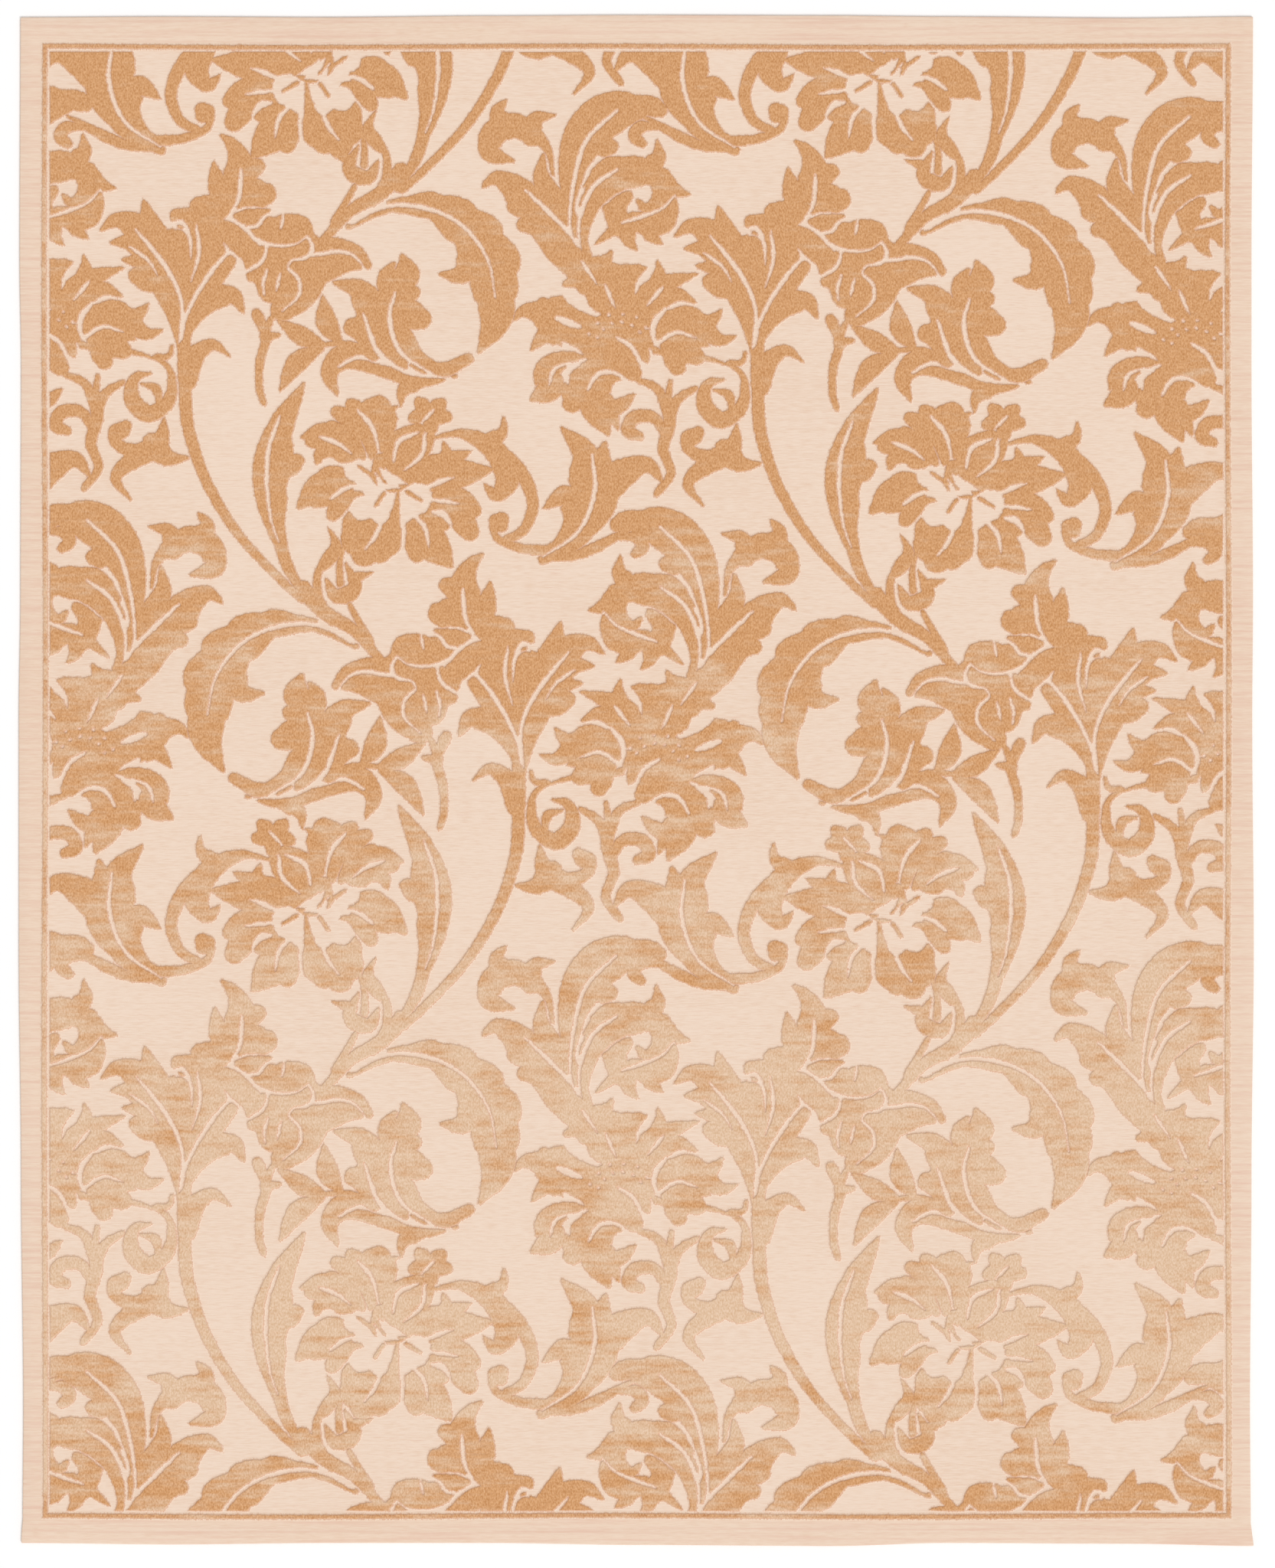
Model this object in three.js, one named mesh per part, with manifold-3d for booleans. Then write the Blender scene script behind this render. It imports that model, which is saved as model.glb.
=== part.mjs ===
// A hand-knotted room rug lying flat: one cloth with a low woven ground, a raised line of pile that
// frames the field, and a field whose cut pile stands above the ground. Millimetres, +Z up, the origin
// under the middle of the rug, +Y towards its upper end. The ground shows as a plain band outside the line.

import * as THREE from "three";
import { mergeVertices } from "three/addons/utils/BufferGeometryUtils.js";
import Module from "manifold-3d";

const wasm = await Module();
wasm.setup();

// Driving dimensions.
const WIDTH = 2440;
const LENGTH = 3027;
const GROUND_THICKNESS = 7;
const PILE_RISE = 3.5;
const FOOT_IN_GROUND = 1;
const EDGE_ROUNDING = 1.5;
const ROUNDING_STEPS = 2;
const SIDE_BAND = 43.5;
const UPPER_BAND = 55;
const LOWER_BAND = 52;
const LINE_WIDTH = 10;
const LINE_TO_FIELD_GAP = 7;
const EDGE_STEPS = 32;

// How far the edge stands out (+) or in (-) from straight, at shares of the way along it.
// The side edges run from the lower end up, and their first rows are the lower hem, which flares.
const SIDE_WAVE = [
  { along: 0, left: -1.5, right: 3 },
  { along: 0.006, left: -2, right: 0.5 },
  { along: 0.012, left: -4.5, right: -3 },
  { along: 0.09, left: -6, right: -4.5 },
  { along: 0.24, left: -1.5, right: -1.5 },
  { along: 0.39, left: 3, right: 3 },
  { along: 0.54, left: 3, right: 0 },
  { along: 0.62, left: 0, right: 1.5 },
  { along: 0.77, left: -1.5, right: -1.5 },
  { along: 0.84, left: 1.5, right: -1.5 },
  { along: 1, left: 0, right: 1.5 },
];
// The end edges run from left to right.
const END_WAVE = [
  { along: 0, upper: -1.5, lower: -3 },
  { along: 0.12, upper: 0, lower: 0 },
  { along: 0.25, upper: -1.5, lower: -3 },
  { along: 0.38, upper: 1.5, lower: -3 },
  { along: 0.5, upper: 3, lower: 1 },
  { along: 0.66, upper: 2, lower: 3 },
  { along: 0.75, upper: 0, lower: -3 },
  { along: 0.9, upper: -3, lower: -1.5 },
  { along: 1, upper: 0, lower: 3 },
];

// The wave between two rows of a table, eased so that the edge has no corners.
function waveAt(table, column, along) {
  const next = Math.max(1, table.findIndex((row) => row.along >= along));
  const [a, b] = [table[next - 1], table[next]];
  const share = (along - a.along) / (b.along - a.along);
  const eased = share * share * (3 - 2 * share);
  return a[column] + (b[column] - a[column]) * eased;
}

// Shares along an edge: the table's own rows, and even steps that keep clear of them.
function sharesAlong(table) {
  const even = Array.from({ length: EDGE_STEPS + 1 }, (_, step) => step / EDGE_STEPS);
  const clearance = 0.25 / EDGE_STEPS;
  const clear = even.filter((share) => table.every((row) => Math.abs(row.along - share) > clearance));
  return [...clear, ...table.map((row) => row.along)].sort((a, b) => a - b);
}

// A point of the rug, at shares of the way across and up it: 0 and 1 lie on the wavy edges.
function rugPoint(across, up) {
  const left = -WIDTH / 2 - waveAt(SIDE_WAVE, "left", up);
  const right = WIDTH / 2 + waveAt(SIDE_WAVE, "right", up);
  const lower = -LENGTH / 2 - waveAt(END_WAVE, "lower", across);
  const upper = LENGTH / 2 + waveAt(END_WAVE, "upper", across);
  return new THREE.Vector2(left + (right - left) * across, lower + (upper - lower) * up);
}

// The rug's outline, anticlockwise from the lower left corner.
function rugOutline() {
  const across = sharesAlong(END_WAVE);
  const up = sharesAlong(SIDE_WAVE);
  return [
    ...across.slice(0, -1).map((share) => rugPoint(share, 0)),
    ...up.slice(0, -1).map((share) => rugPoint(1, share)),
    ...across.slice(1).reverse().map((share) => rugPoint(share, 1)),
    ...up.slice(1).reverse().map((share) => rugPoint(0, share)),
  ];
}

// The rectangle that lies a distance inside the outer side of the raised line.
function innerRectangle(inset) {
  const left = -WIDTH / 2 + SIDE_BAND + inset;
  const right = WIDTH / 2 - SIDE_BAND - inset;
  const lower = -LENGTH / 2 + LOWER_BAND + inset;
  const upper = LENGTH / 2 - UPPER_BAND - inset;
  return [
    new THREE.Vector2(left, lower),
    new THREE.Vector2(right, lower),
    new THREE.Vector2(right, upper),
    new THREE.Vector2(left, upper),
  ];
}

// A shape as a solid between two heights, with its upper and lower edges rounded where asked.
function slab(shape, low, high, rounding = 0) {
  const geometry = new THREE.ExtrudeGeometry(shape, {
    depth: high - low - 2 * rounding,
    bevelEnabled: rounding > 0,
    bevelThickness: rounding,
    bevelSize: rounding,
    bevelOffset: -rounding,
    bevelSegments: ROUNDING_STEPS,
  });
  geometry.translate(0, 0, low + rounding);
  geometry.deleteAttribute("normal");
  geometry.deleteAttribute("uv");
  const merged = mergeVertices(geometry, 1e-3);
  return new wasm.Manifold(
    new wasm.Mesh({
      numProp: 3,
      vertProperties: merged.attributes.position.array,
      triVerts: new Uint32Array(merged.index.array),
    }),
  );
}

// The raised line is a rectangle of pile round a smaller one that is left out.
const lineShape = new THREE.Shape(innerRectangle(0));
lineShape.holes.push(new THREE.Path(innerRectangle(LINE_WIDTH)));
const fieldShape = new THREE.Shape(innerRectangle(LINE_WIDTH + LINE_TO_FIELD_GAP));

const pileFoot = GROUND_THICKNESS - FOOT_IN_GROUND;
const pileTop = GROUND_THICKNESS + PILE_RISE;
const ground = slab(new THREE.Shape(rugOutline()), 0, GROUND_THICKNESS, EDGE_ROUNDING);
const line = slab(lineShape, pileFoot, pileTop);
const field = slab(fieldShape, pileFoot, pileTop);
const cloth = ground.add(line).add(field).getMesh();

const geometry = new THREE.BufferGeometry();
geometry.setAttribute("position", new THREE.BufferAttribute(cloth.vertProperties, 3));
geometry.setIndex(new THREE.BufferAttribute(cloth.triVerts, 1));
geometry.computeVertexNormals();

const wool = new THREE.MeshStandardMaterial({ color: 0xe6c39b, roughness: 0.9, metalness: 0 });
const rug = new THREE.Mesh(geometry, wool);
rug.name = "rug";

const part = new THREE.Group();
part.add(rug);

export default part;
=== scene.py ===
# A hand-knotted room rug that lies flat: a low woven ground, a raised line that frames the field, and a
# carved pile figure of acanthus scrolls and flowers, with a painted sheen that makes it lighter and darker.
# Metres, +Z up.
import math

import bpy
import numpy as np
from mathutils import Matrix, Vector
from mathutils.geometry import delaunay_2d_cdt


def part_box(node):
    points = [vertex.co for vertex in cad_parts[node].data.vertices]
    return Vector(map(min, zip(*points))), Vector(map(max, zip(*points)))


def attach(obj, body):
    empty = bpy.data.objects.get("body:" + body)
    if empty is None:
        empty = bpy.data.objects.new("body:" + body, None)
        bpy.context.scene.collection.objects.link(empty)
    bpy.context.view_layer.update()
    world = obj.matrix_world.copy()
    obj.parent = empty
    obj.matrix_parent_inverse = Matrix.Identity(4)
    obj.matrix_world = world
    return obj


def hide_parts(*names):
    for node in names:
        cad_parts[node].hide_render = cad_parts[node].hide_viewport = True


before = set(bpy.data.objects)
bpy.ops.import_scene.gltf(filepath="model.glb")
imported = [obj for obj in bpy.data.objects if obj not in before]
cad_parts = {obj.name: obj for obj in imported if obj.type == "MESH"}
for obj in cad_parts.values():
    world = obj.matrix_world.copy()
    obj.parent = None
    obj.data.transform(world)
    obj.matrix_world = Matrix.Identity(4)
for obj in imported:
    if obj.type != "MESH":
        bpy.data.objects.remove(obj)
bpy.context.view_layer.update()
bpy.ops.object.select_all(action="DESELECT")

# sizes of the cloth, as the maker would give them
cloth = {
    "width": 2.44,             # between the straight sides that the edges wander about
    "length": 3.027,
    "groundThickness": 0.007,
    "pileHeight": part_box("rug")[1].z,   # the tips of the pile
    "pileFoot": 0.0066,        # the pile is rooted a little below the ground's face
    "sideBand": 0.0440,        # bare ground outside the raised line
    "upperBand": 0.0555,
    "lowerBand": 0.0525,
    "lineWidth": 0.0085,
    "lineToField": 0.008,
}


# the brush that draws the figure, in squares of a chart that is squared as the rug is knotted

brush = {
    "knot": 0.00261,           # one square of the chart
    "step": 1.5,               # between two points of an outline, in squares
    "inset": 0.5,              # the pile's tips stand this far inside its edge, in squares
    "groove": 1.1,             # the shears widen each groove by this much to either side, in squares
    "smallest": 3.0,           # area of the smallest speck or hole that is knotted, in squares
    "thinnest": 0.15,          # half the least width of a stroke, in squares
    "blunt": 0.8,              # a stroke's end is rounded from this radius up, in squares
    "fuzz": 0.27,              # how far the shears leave the edge uneven, in squares
    "seed": 7,
}

shapes = {                     # width at the root, where a stroke is widest, width at the tip, how both run
    "stem": {"root": 1.0, "belly": 0.05, "tip": 0.5, "lag": 1.0, "fall": 1.0},
    "spear": {"root": 0.12, "belly": 0.5, "tip": 0.06, "lag": 1.0, "fall": 1.3},
    "blade": {"root": 0.75, "belly": 0.3, "tip": 0.06, "lag": 1.0, "fall": 1.1},
    "petal": {"root": 0.4, "belly": 0.65, "tip": 0.7, "lag": 1.0, "fall": 2.0},
    "leaf": {"root": 0.2, "belly": 0.5, "tip": 0.06, "lag": 1.0, "fall": 1.3},
    "plume": {"root": 0.1, "belly": 0.68, "tip": 0.06, "lag": 1.7, "fall": 1.5},
    "sickle": {"root": 0.12, "belly": 0.78, "tip": 0.6, "lag": 2.4, "fall": 2.0},
    "round": {"root": 1.0, "belly": 0.5, "tip": 1.0, "lag": 1.0, "fall": 1.0},
    "cut": {"root": 0.5, "belly": 0.35, "tip": 0.2, "lag": 1.0, "fall": 1.6},
}

strokes = []


# a smooth line that passes through every node

def smoothLine(nodes, step):
    line = np.array(nodes, float)
    line = np.vstack([2 * line[0] - line[1], line, 2 * line[-1] - line[-2]])
    points = []
    for a, b, c, d in zip(line, line[1:], line[2:], line[3:]):
        tb = math.dist(a, b) ** 0.5
        tc = tb + math.dist(b, c) ** 0.5
        td = tc + math.dist(c, d) ** 0.5
        count = max(2, round(math.dist(b, c) / step))
        for t in np.linspace(tb, tc, count, endpoint=False):
            ab = a + (b - a) * t / tb
            bc = b + (c - b) * (t - tb) / (tc - tb)
            cd = c + (d - c) * (t - tc) / (td - tc)
            abc = ab + (bc - ab) * t / tc
            bcd = bc + (cd - bc) * (t - tb) / (td - tb)
            points.append(abc + (bcd - abc) * (t - tb) / (tc - tb))
    points.append(line[-2])
    return np.array(points)


# the brush: its width along a stroke, scallops on its sides, and its round ends

def widthAlong(share, shape):
    rise = np.sin(np.pi / 2 * np.minimum(share / shape["belly"], 1)) ** shape["lag"]
    fall = 1 - np.clip((share - shape["belly"]) / (1 - shape["belly"]), 0, 1) ** shape["fall"]
    before = shape["root"] + (1 - shape["root"]) * rise
    after = shape["tip"] + (1 - shape["tip"]) * fall
    return np.where(share < shape["belly"], before, after)


def scallops(share, count, depth):       # each scallop swells slowly and ends in a notch
    phase = (np.clip(share, 0, 0.999) * count) % 1
    return 1 - depth * (1 - np.sin(np.pi * phase ** 1.5) ** 0.6)


def roundEnd(middle, heading, radius, step):
    if radius < brush["blunt"]:
        return middle[None, :]
    count = max(3, round(math.pi * radius / step))
    turns = heading + math.pi / 2 - math.pi * np.arange(1, count) / count
    return middle + radius * np.column_stack([np.cos(turns), np.sin(turns)])


def brushOutline(spine, shape, wide, left, right, depth, grow):
    middle = smoothLine(spine, brush["step"])
    along = np.gradient(middle, axis=0)
    lengths = np.linalg.norm(along, axis=1)
    share = np.cumsum(lengths) - lengths[0]
    share = share / share[-1]
    along /= lengths[:, None]
    radius = wide / 2 * widthAlong(share, shapes[shape])
    onRight = radius * (scallops(share, right, depth) if right else 1) + grow
    onLeft = radius * (scallops(share, left, depth) if left else 1) + grow
    onRight = np.maximum(onRight, brush["thinnest"])
    onLeft = np.maximum(onLeft, brush["thinnest"])
    across = np.column_stack([-along[:, 1], along[:, 0]])
    headings = np.arctan2(along[:, 1], along[:, 0])
    return np.vstack([
        middle + across * onRight[:, None],
        roundEnd(middle[-1], headings[-1], min(onRight[-1], onLeft[-1]), brush["step"]),
        (middle - across * onLeft[:, None])[::-1],
        roundEnd(middle[0], headings[0] + math.pi, min(onRight[0], onLeft[0]), brush["step"]),
    ])


class Motif:
    def __init__(self, x, y, turned=False):
        self.corner = (x, y)
        self.way = (-1, 1) if turned else (1, 1)

    def pile(self, shape, spine, wide, left=0, right=0, depth=0.35):
        outline = brushOutline(spine, shape, wide, left, right, depth, -brush["inset"])
        strokes.append(("pile", outline * self.way + self.corner))

    def cut(self, spine, wide=3.2, shape="cut"):
        outline = brushOutline(spine, shape, wide, 0, 0, 0, brush["groove"])
        strokes.append(("cut", outline * self.way + self.corner))

    def dot(self, x, y, wide):
        self.cut([(x - 0.6, y), (x + 0.6, y)], wide, "round")


# the chart of one repeat: each motif is drawn from its own corner, and a stroke from root to tip

# main stem with a hooked leaf and a spear leaf

stem = Motif(279, 145)
stem.pile("stem", [(29, -9), (29, 35), (31, 66), (44, 106), (68, 146), (96, 177), (118, 198)], 10)
stem.pile("blade", [(32, 32), (36, 14), (50, 4), (64, 13)], 16)
stem.pile("spear", [(101, 158), (95, 126), (96, 92), (104, 62), (120, 33)], 30, right=3, depth=0.25)
stem.pile("stem", [(97, 118), (101, 152), (107, 173), (121, 196)], 12)
stem.pile("petal", [(100, 102), (114, 92)], 15)
stem.pile("stem", [(88, 104), (91, 134), (98, 154)], 9)
stem.cut([(101, 58), (92, 84), (91, 112), (95, 140), (100, 154)])

# fork of the stem, its bulb and its curled twig

fork = Motif(-23, -6)
fork.pile("stem", [(60, 20), (44, 37), (22, 50), (2, 71)], 12)
fork.pile("stem", [(10, 59), (18, 44), (25, 31)], 7)
fork.pile("stem", [(38, 43), (48, 28), (49, 10), (42, -4)], 8)
fork.pile("blade", [(44, 2), (35, -12), (41, -26)], 11)
fork.pile("spear", [(43, 12), (35, 25), (21, 19), (28, 0)], 12)
fork.pile("blade", [(24, 12), (7, 7)], 7)
fork.pile("stem", [(32, 16), (32, 0), (28, -16)], 5)

# arching leaf

arch = [(20, 62), (50, 48), (84, 47), (112, 64), (130, 92), (131, 122)]
fork.pile("sickle", arch, 43, left=7, right=5, depth=0.22)
fork.pile("blade", [(133, 108), (132, 134), (119, 158)], 30, left=1, right=1, depth=0.2)
fork.pile("blade", [(116, 82), (106, 98), (89, 98)], 20)
fork.cut([(22, 60), (48, 47), (78, 48), (106, 61), (126, 87), (132, 116)])

# curled leaf group and its three leaflets

fork.pile("leaf", [(62, 168), (48, 142), (50, 122), (56, 104)], 46, left=1, right=3, depth=0.2)
fork.pile("leaf", [(52, 120), (54, 104), (64, 98), (61, 83)], 26, right=1, depth=0.2)
fork.pile("petal", [(52, 136), (62, 128), (76, 132)], 22)
fork.pile("petal", [(52, 118), (70, 112)], 15)
fork.pile("blade", [(54, 156), (42, 132), (28, 110), (9, 104)], 36, left=4, right=1, depth=0.2)
fork.pile("petal", [(50, 144), (24, 138)], 20)
fork.pile("stem", [(62, 146), (72, 162), (90, 171), (112, 162)], 16)
curl = [(103, 175), (76, 180), (46, 168), (18, 160), (6, 172), (12, 190)]
fork.pile("plume", curl, 20, left=2, depth=0.15)
fork.pile("blade", [(76, 178), (62, 186), (60, 199)], 13)
fork.cut([(56, 112), (52, 130), (60, 157), (88, 176)])
fork.cut([(32, 128), (44, 158), (64, 172), (98, 177)], 3.4)
fork.cut([(13, 168), (28, 161), (48, 166), (62, 171)])
fork.pile("spear", [(15, 150), (5, 136), (1, 114)], 16)
fork.pile("stem", [(40, 161), (22, 151), (0, 151)], 6)
fork.pile("spear", [(4, 152), (-12, 146), (-33, 132)], 14)
fork.pile("spear", [(2, 153), (-18, 164), (-32, 186)], 15)

# little blossom

scroll = Motif(-23, 145)
for degrees in (12, 84, 164, 232, 312):
    turn = math.radians(degrees)
    tip = (82 + 13 * math.cos(turn), 53 + 11 * math.sin(turn))
    scroll.pile("petal", [(82, 53), tip], 12)
scroll.pile("stem", [(81, 56), (80, 64)], 12)
scroll.cut([(85, 50), (80, 55), (75, 60)], 2.4)

# peony: petals round the bud, from the top and round by the left

peony = Motif(-49, 183)
peony.pile("petal", [(64, 46), (61, 30), (46, 18)], 16)
peony.pile("petal", [(56, 24), (37, 13)], 13)
peony.pile("petal", [(60, 26), (49, 8)], 15)
peony.pile("blade", [(69, 10), (72, 26), (71, 44)], 24)
peony.pile("petal", [(70, 28), (62, 10)], 18)
peony.pile("blade", [(68, 17), (84, 9)], 10)
peony.cut([(53, 12), (64, 25), (69, 43)])
peony.pile("leaf", [(58, 48), (46, 36), (28, 29), (9, 32)], 22, right=2)
peony.pile("petal", [(44, 34), (33, 24)], 13)
peony.pile("petal", [(50, 38), (46, 25)], 12)
peony.pile("petal", [(50, 47), (32, 37), (17, 35)], 13)
peony.pile("blade", [(46, 46), (30, 42), (23, 47), (24, 57)], 16)
peony.cut([(24, 32), (38, 37), (48, 45)])
peony.cut([(24, 54), (32, 50), (41, 58)], 5)
peony.pile("leaf", [(55, 68), (36, 66), (22, 72), (7, 86)], 27, right=2, depth=0.2)
peony.pile("petal", [(40, 70), (22, 80)], 16)
peony.pile("petal", [(56, 77), (42, 80), (34, 91)], 14)
peony.cut([(32, 79), (44, 71), (61, 69)])
peony.pile("petal", [(60, 84), (56, 100), (58, 120)], 34, right=2, depth=0.15)
peony.pile("petal", [(76, 88), (76, 104), (70, 120)], 26, left=2, depth=0.15)
peony.cut([(71, 97), (66, 108), (58, 118)])
peony.pile("petal", [(90, 88), (96, 106), (98, 120)], 20)
peony.pile("leaf", [(98, 88), (106, 108), (125, 131)], 30, left=2, depth=0.2)
peony.pile("petal", [(98, 94), (119, 99)], 12)
peony.cut([(86, 92), (88, 106), (86, 122)], 3.4)
peony.cut([(96, 92), (104, 101), (107, 116)])
peony.pile("petal", [(104, 90), (124, 86), (138, 104)], 20)
peony.pile("petal", [(112, 77), (130, 79), (141, 88)], 16)
peony.cut([(111, 80), (130, 83)])
peony.cut([(110, 89), (118, 91), (124, 99)], 5)
peony.pile("leaf", [(88, 64), (108, 58), (128, 60), (156, 57)], 27, right=2, depth=0.2)
peony.pile("blade", [(112, 56), (120, 47), (118, 36)], 15)
peony.pile("blade", [(118, 53), (139, 43)], 14)
peony.pile("petal", [(110, 72), (133, 65)], 12)
peony.cut([(107, 70), (116, 66), (126, 63)], 3.6)
peonyHeart = (                 # the bare rounds in its middle: across, down, width
    (51, 58, 15), (57, 64, 11), (57, 86, 18), (70, 91, 13),
    (75, 84, 10), (88, 91, 12), (98, 82, 18), (92, 78, 9))
for across, down, wide in peonyHeart:
    peony.dot(across, down, wide)
peony.pile("stem", [(99, 27), (80, 34), (76, 52), (94, 65)], 10)
peony.pile("stem", [(108, 32), (103, 47), (84, 61)], 7)
peony.pile("spear", [(81, 58), (90, 45), (101, 30)], 22)
peony.pile("stem", [(70, 50), (68, 63), (80, 71), (92, 66)], 10)
peony.cut([(99, 29), (84, 36), (80, 52)])
peony.cut([(104, 30), (102, 45), (88, 58)])
peony.cut([(70, 56), (76, 65), (90, 68)], 3.4)
peony.cut([(66, 60), (72, 69), (85, 71)])
peony.pile("blade", [(80, 106), (82, 88), (84, 72)], 7)
peony.pile("stem", [(66, 63), (53, 54)], 3)
peony.pile("stem", [(73, 75), (66, 85)], 3)
peony.pile("stem", [(90, 74), (102, 81)], 3)

# spiral scroll beside the peony

scroll.pile("plume", [(84, 71), (106, 68), (130, 80), (141, 102), (132, 114), (123, 106)], 19)
scroll.pile("blade", [(122, 76), (137, 67), (138, 55)], 12)
scroll.pile("stem", [(126, 76), (150, 96), (160, 122), (152, 142), (140, 148)], 12)
scroll.pile("stem", [(172, 157), (148, 154), (132, 146), (130, 134)], 8)
scroll.pile("petal", [(130, 140), (136, 133)], 16)

# three-lobed leaf

trefoil = Motif(128, 145)
trefoil.pile("leaf", [(44, 152), (56, 122), (59, 98), (64, 74)], 34, left=1, right=1, depth=0.2)
trefoil.pile("blade", [(54, 108), (47, 82), (30, 63)], 26, left=2, depth=0.2)
trefoil.pile("plume", [(4, 158), (28, 152), (42, 132), (34, 116), (17, 125)], 20, left=1)
trefoil.pile("petal", [(52, 118), (44, 96)], 20)
trefoil.pile("blade", [(56, 116), (76, 99), (96, 92), (108, 105)], 26, left=1, depth=0.15)
trefoil.pile("stem", [(60, 104), (57, 128), (44, 150), (16, 164)], 14)
trefoil.cut([(54, 84), (56, 112), (44, 142), (16, 162)])
twig = Motif(296, 221, turned=True)
twig.pile("spear", [(80, 62), (106, 76), (128, 85), (154, 88)], 8)
twig.pile("petal", [(93, 71), (80, 71), (75, 78), (82, 84)], 9)

# hook and leaf over the poppy

fan = Motif(87, -41)
fan.pile("plume", [(65, 58), (61, 38), (44, 22), (22, 24), (17, 40), (36, 47)], 19)
fan.pile("petal", [(52, 32), (38, 20), (26, 20)], 18)
fan.pile("blade", [(32, 24), (23, 10), (30, 0)], 17)
fan.pile("blade", [(48, 30), (52, 15), (67, 12)], 15)
fan.pile("leaf", [(92, 146), (78, 116), (58, 92), (44, 76), (30, 66)], 35, left=2, depth=0.15)
fan.pile("blade", [(50, 84), (34, 66), (22, 60), (11, 67)], 24)
fan.pile("petal", [(50, 84), (35, 82)], 14)
fan.pile("petal", [(60, 92), (44, 95)], 18)
fan.pile("blade", [(76, 102), (64, 78), (56, 58), (58, 41)], 26)
fan.cut([(44, 69), (62, 86), (82, 108), (86, 120)])

# plume that bends over at its head

plume = Motif(139, -93)
plume.pile("plume", [(26, 152), (26, 116), (38, 80), (62, 61), (94, 58)], 36, right=3, depth=0.18)
plume.pile("petal", [(44, 88), (57, 88)], 16)
plume.pile("petal", [(76, 52), (95, 60)], 15)
plume.cut([(62, 60), (38, 84), (28, 120), (26, 150), (31, 164)])

# curled leaf beside the plume

fan.pile("sickle", [(96, 134), (88, 104), (97, 72), (120, 55), (146, 60)], 25, left=4, depth=0.15)
fan.pile("spear", [(124, 46), (108, 49), (88, 67)], 11)
fan.pile("blade", [(136, 52), (145, 44), (144, 30)], 14)
fan.pile("blade", [(142, 58), (156, 68), (169, 72)], 18)
fan.pile("blade", [(148, 58), (147, 76), (136, 83), (127, 74)], 17)
fan.cut([(114, 53), (96, 66), (85, 92), (86, 120)])
star = Motif(186, -35)
star.pile("blade", [(54, 72), (48, 86), (22, 88), (-2, 104)], 20, right=3, depth=0.2)
star.pile("blade", [(16, 92), (14, 78), (22, 68), (33, 64)], 17)
star.pile("blade", [(22, 88), (23, 100), (30, 109)], 14)
star.pile("blade", [(40, 84), (40, 96), (49, 104)], 16)
star.pile("petal", [(18, 84), (8, 77)], 12)
star.cut([(30, 65), (37, 63)], 8, "round")
star.cut([(18, 88), (36, 82), (48, 77), (59, 66)], 2.8)

# leaves at the head of the stem

star.pile("plume", [(118, 186), (112, 148), (102, 118), (90, 102), (72, 94)], 34, left=2, depth=0.15)
star.pile("blade", [(96, 108), (84, 94), (70, 90), (58, 98)], 22)
star.pile("blade", [(104, 118), (98, 96), (94, 86), (91, 74)], 26, right=2, depth=0.2)
star.pile("blade", [(100, 118), (82, 107), (65, 107)], 20)
star.pile("blade", [(106, 134), (92, 122), (74, 120)], 20)
star.pile("petal", [(108, 140), (86, 132)], 18)
star.pile("petal", [(120, 176), (119, 140), (117, 104)], 20)
star.pile("petal", [(104, 118), (110, 98)], 12)
star.cut([(80, 110), (94, 120), (102, 132)], 2.4)
crown = Motif(279, -6)
crown.pile("leaf", [(28, 144), (40, 104), (58, 62), (67, 38), (67, 14)], 44, left=2, right=1, depth=0.15)
crown.pile("blade", [(68, 40), (71, 16), (64, 2), (56, -4)], 24)
crown.pile("blade", [(62, 48), (54, 32), (51, 16)], 20)
crown.pile("petal", [(66, 28), (84, 20)], 17)
crown.pile("petal", [(68, 42), (90, 41)], 24)
crown.pile("petal", [(58, 54), (40, 50)], 20)
crown.pile("petal", [(50, 66), (24, 58)], 18)
crown.pile("spear", [(66, 83), (52, 104), (32, 132)], 13)
crown.pile("plume", [(29, 164), (33, 142), (48, 122), (66, 118), (74, 131)], 17)
crown.cut([(-8, 68), (16, 98), (27, 124), (25, 154)])
crown.cut([(72, 22), (70, 44), (62, 59)])
crown.cut([(66, 81), (48, 102), (32, 130), (27, 152)])
crown.cut([(16, 67), (26, 62), (33, 74), (34, 90)])
crown.cut([(38, 64), (40, 86), (34, 108)], 2.6)

# tulip, cut clear of the leaves behind it

crown.cut([(56, 68), (80, 58), (106, 64)], 16)
crown.cut([(62, 70), (80, 94)], 18)
crown.pile("petal", [(80, 104), (80, 88), (68, 74), (56, 66)], 18)
crown.pile("spear", [(66, 57), (80, 58), (94, 53)], 13, left=2, depth=0.2)
crown.pile("petal", [(78, 66), (90, 69), (100, 66)], 22, left=2, depth=0.15)
crown.pile("petal", [(92, 70), (110, 68), (121, 76)], 26, left=2, depth=0.12)
crown.pile("petal", [(118, 70), (126, 84)], 16)
crown.pile("stem", [(122, 84), (134, 79), (148, 80), (162, 86), (168, 96)], 11)
crown.pile("petal", [(110, 86), (126, 98), (120, 112), (104, 128)], 26)
crown.pile("plume", [(168, 98), (152, 94), (136, 95), (118, 104)], 26)
crown.pile("petal", [(98, 76), (98, 110)], 40)
crown.pile("petal", [(86, 84), (106, 86), (122, 78)], 16)
crown.cut([(65, 60), (76, 68), (84, 76), (98, 80), (114, 79), (122, 73)], 2.8)
crown.cut([(77, 66), (84, 65), (89, 59), (98, 53)], 2.6)
crown.cut([(104, 58), (102, 68)], 2.4)
crown.cut([(122, 73), (126, 82), (122, 89), (110, 92), (107, 97)], 2.8)
crown.cut([(108, 98), (116, 106), (116, 118), (103, 130)], 2.6)
crown.cut([(123, 88), (132, 87), (146, 85), (158, 89), (166, 99)], 2.8)
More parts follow.
